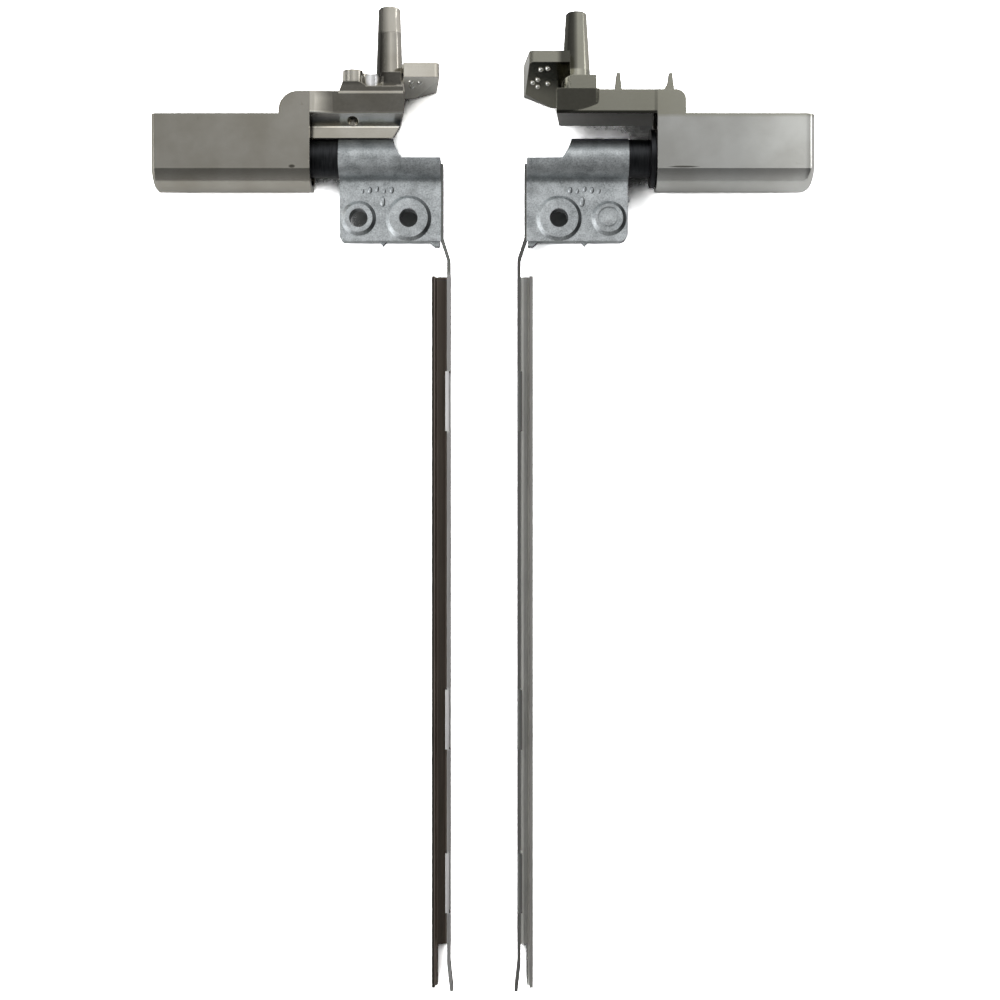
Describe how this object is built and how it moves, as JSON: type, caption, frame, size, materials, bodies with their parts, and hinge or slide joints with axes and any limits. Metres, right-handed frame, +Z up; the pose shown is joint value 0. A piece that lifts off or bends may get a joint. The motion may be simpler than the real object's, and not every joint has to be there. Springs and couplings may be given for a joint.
{
  "type": "laptop hinge pair",
  "caption": "Pair of laptop lid hinges: plated cast base brackets with trough caps and screw posts, friction shafts, cast knuckles and long folded steel rails for the display panel.",
  "frame": {"origin": "middle of the bounding box at the level of the table that the pair lies on", "axes": "+X to the right along both hinge axes, +Y towards the screw posts and away from the rail ends, +Z up from the table"},
  "size_m": [0.1308, 0.1968, 0.013],
  "materials": {
    "nickel_plate": "satin nickel plating over a die casting",
    "black_steel": "black oxide on turned steel",
    "cast_zinc": "tumbled zinc casting, fine grain",
    "rail_steel": "cold-rolled steel sheet with dull plating",
    "rivet_steel": "plain steel, flush set",
    "friction_bronze": "sintered bronze, greased",
    "pack_steel": "blanked and hardened steel",
    "spring_steel": "oil-blackened spring steel",
    "zinc_plated_nut": "bright zinc plating on steel"
  },
  "bodies": {
    "base": {"left_base_bracket": "nickel_plate", "left_inner_friction_washer": "friction_bronze", "left_outer_friction_washer": "friction_bronze", "right_base_bracket": "nickel_plate", "right_inner_friction_washer": "friction_bronze", "right_outer_friction_washer": "friction_bronze"},
    "left_lid_arm": {"left_hinge_shaft": "black_steel", "left_knuckle_block": "cast_zinc", "left_lid_rail": "rail_steel", "left_rail_rivets": "rivet_steel", "left_stop_plate": "pack_steel", "left_disc_spring": "spring_steel", "left_pressure_washer": "pack_steel", "left_lock_nut": "zinc_plated_nut"},
    "right_lid_arm": {"right_hinge_shaft": "black_steel", "right_knuckle_block": "cast_zinc", "right_lid_rail": "rail_steel", "right_rail_rivets": "rivet_steel", "right_stop_plate": "pack_steel", "right_disc_spring": "spring_steel", "right_pressure_washer": "pack_steel", "right_lock_nut": "zinc_plated_nut"}
  },
  "joints": [
    {"name": "left_lid_hinge", "type": "hinge", "parent": "base", "child": "left_lid_arm", "pos_m": [-0.01875, 0.06835, 0.006], "axis": [1, 0, 0], "range_deg": [-90, 90]},
    {"name": "right_lid_hinge", "type": "hinge", "parent": "base", "child": "right_lid_arm", "pos_m": [0.01875, 0.06835, 0.006], "axis": [1, 0, 0], "range_deg": [-90, 90]}
  ]
}
